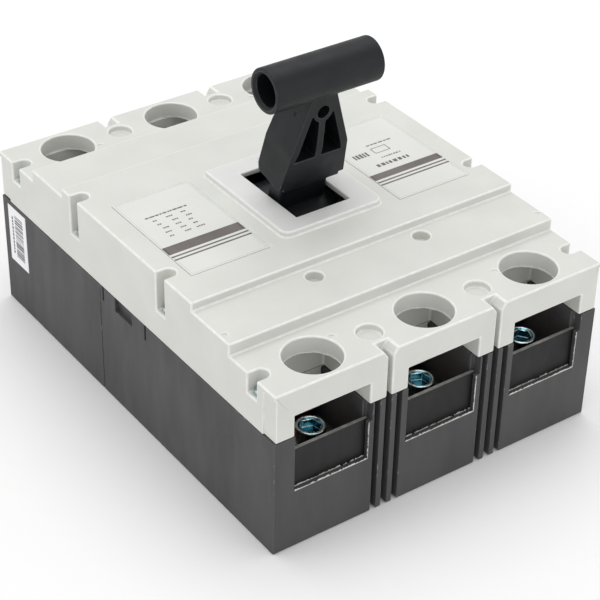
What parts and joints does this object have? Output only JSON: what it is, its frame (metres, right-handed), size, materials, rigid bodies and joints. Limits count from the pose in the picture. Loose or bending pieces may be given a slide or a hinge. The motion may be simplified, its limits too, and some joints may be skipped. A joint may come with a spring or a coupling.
{
  "type": "molded case circuit breaker",
  "caption": "Molded case circuit breaker with stepped cover, deep terminal bays, tilting toggle and a T-grip extension handle.",
  "frame": {"origin": "centre of the mounting face at the bottom of the base", "axes": "+X across the poles, +Y from the line end to the load end, +Z out of the mounting face towards the handle"},
  "size_m": [0.21, 0.28, 0.2043],
  "materials": {
    "cover": "fine textured moulding, satin",
    "base": "dark filled moulding, matte with fine streaks",
    "handle": "black, satin",
    "shutter": "black insulating board, matte",
    "zinc": "bright blue zinc plate",
    "steel": "zinc plated, satin",
    "copper": "drawn copper, satin",
    "deion": "plated steel fins in fibre cheeks",
    "bimetal": "rolled strip, satin",
    "mechanism_plastic": "brown glass-filled moulding, matte",
    "label": "printed film, semi-matte"
  },
  "bodies": {
    "housing": {"base": "base", "cover": "cover", "line_terminal_1": "copper", "line_shutter_1": "shutter", "line_terminal_bolt_1": "zinc", "line_terminal_2": "copper", "line_shutter_2": "shutter", "line_terminal_bolt_2": "zinc", "line_terminal_3": "copper", "line_shutter_3": "shutter", "line_terminal_bolt_3": "zinc", "load_terminal_1": "copper", "load_shutter_1": "shutter", "load_terminal_bolt_1": "zinc", "load_terminal_2": "copper", "load_shutter_2": "shutter", "load_terminal_bolt_2": "zinc", "load_terminal_3": "copper", "load_shutter_3": "shutter", "load_terminal_bolt_3": "zinc", "arc_chute_1": "deion", "flexible_braid_1": "copper", "magnet_core_1": "steel", "bimetal_1": "bimetal", "arc_chute_2": "deion", "flexible_braid_2": "copper", "magnet_core_2": "steel", "bimetal_2": "bimetal", "arc_chute_3": "deion", "flexible_braid_3": "copper", "magnet_core_3": "steel", "bimetal_3": "bimetal", "cover_screw_left_1": "zinc", "cover_screw_left_2": "zinc", "cover_screw_left_3": "zinc", "cover_screw_left_4": "zinc", "mechanism_plate_left": "steel", "data_label_left": "label", "cover_screw_right_1": "zinc", "cover_screw_right_2": "zinc", "cover_screw_right_3": "zinc", "cover_screw_right_4": "zinc", "mechanism_plate_right": "steel", "data_label_right": "label", "code_sticker": "label", "cradle_pin": "steel", "spacer_pin": "steel"},
    "handle": {"toggle_handle": "handle", "handle_yoke": "steel", "main_spring_left": "steel", "main_spring_right": "steel"},
    "extension": {"extension_handle": "handle"},
    "contacts": {"contact_shaft": "mechanism_plastic", "contact_arm_1": "copper", "contact_arm_2": "copper", "contact_arm_3": "copper"},
    "link": {"toggle_link": "steel"},
    "trip": {"trip_bar": "mechanism_plastic"},
    "cradle": {"cradle": "steel"}
  },
  "joints": [
    {"name": "handle_throw", "type": "hinge", "parent": "housing", "child": "handle", "pos_m": [0, 0.002, 0.068], "axis": [1, 0, 0], "range_deg": [-26, 15], "deforming": ["main_spring_left", "main_spring_right"]},
    {"name": "extension_pull", "type": "slide", "parent": "handle", "child": "extension", "axis": [0, -0.2164, 0.9763], "range_m": [0, 0.05]},
    {"name": "contact_throw", "type": "hinge", "parent": "housing", "child": "contacts", "pos_m": [0, 0.006, 0.044], "axis": [1, 0, 0], "range_deg": [-18.3, 10.6], "deforming": ["flexible_braid_1", "flexible_braid_2", "flexible_braid_3"]},
    {"name": "link_swing", "type": "hinge", "parent": "contacts", "child": "link", "pos_m": [0, -0.00829, 0.04919], "axis": [1, 0, 0], "range_deg": [-4.6, 7.9]},
    {"name": "trip_turn", "type": "hinge", "parent": "housing", "child": "trip", "pos_m": [0, 0.048, 0.064], "axis": [1, 0, 0], "range_deg": [-12, 0], "stiffness_Nm_per_rad": 0.02, "springref_deg": 5.73},
    {"name": "cradle_release", "type": "hinge", "parent": "housing", "child": "cradle", "pos_m": [0, -0.018, 0.08], "axis": [1, 0, 0], "range_deg": [0, 15]}
  ],
  "couplings": [
    {"joint": "contact_throw", "follows": "handle_throw", "ratio": 0.7},
    {"joint": "link_swing", "follows": "handle_throw", "ratio": -0.3}
  ]
}
